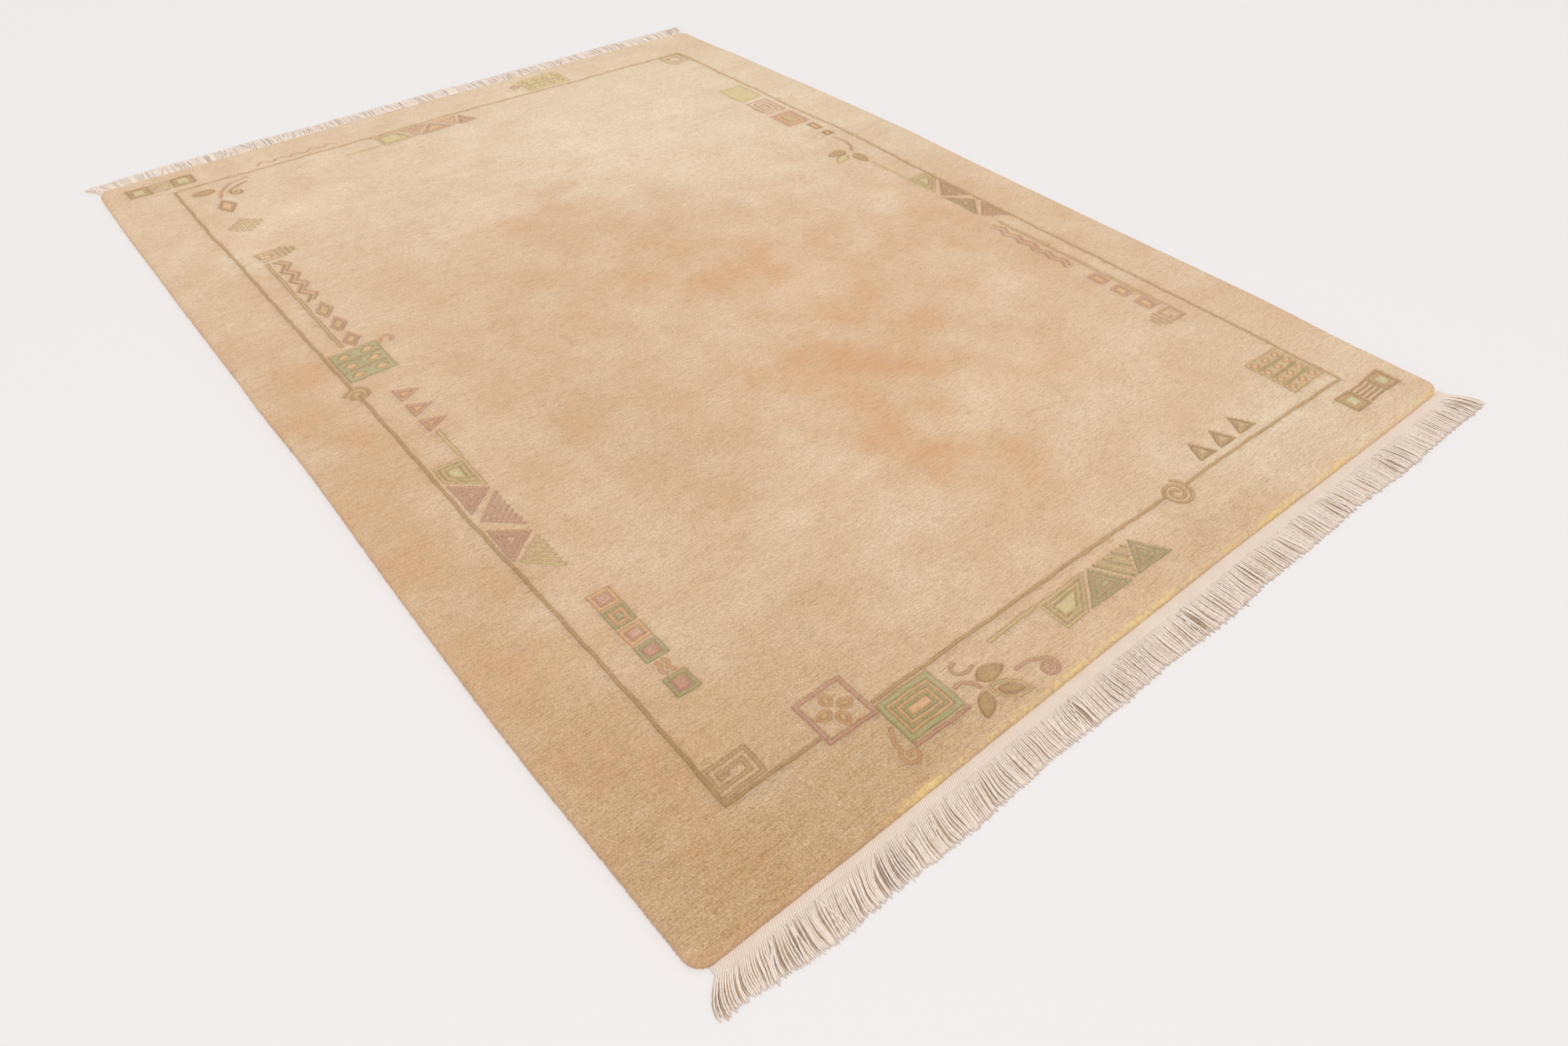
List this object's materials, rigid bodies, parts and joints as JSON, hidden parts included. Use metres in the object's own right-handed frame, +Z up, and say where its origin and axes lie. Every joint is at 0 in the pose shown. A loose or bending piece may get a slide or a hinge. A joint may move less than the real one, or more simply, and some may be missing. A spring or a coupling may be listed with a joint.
{
  "type": "nepalese rug",
  "caption": "Flat hand-knotted wool pile rug with a thin carved frame line, small border ornaments and a cotton fringe on a woven heading at each short end.",
  "frame": {"origin": "middle of the whole rug, fringes included, on its underside", "axes": "+Y along the length, away from the near fringe; +Z up out of the pile"},
  "size_m": [1.7368, 2.5432, 0.013],
  "materials": {
    "wool_pile": "cut hand-spun wool pile, matt, clouded beige with small dyed ornaments",
    "cotton_fringe": "undyed plied cotton, matt"
  },
  "bodies": {
    "root": {"knotted_pile": "wool_pile", "fringe_near": "cotton_fringe", "fringe_far": "cotton_fringe"}
  },
  "joints": []
}
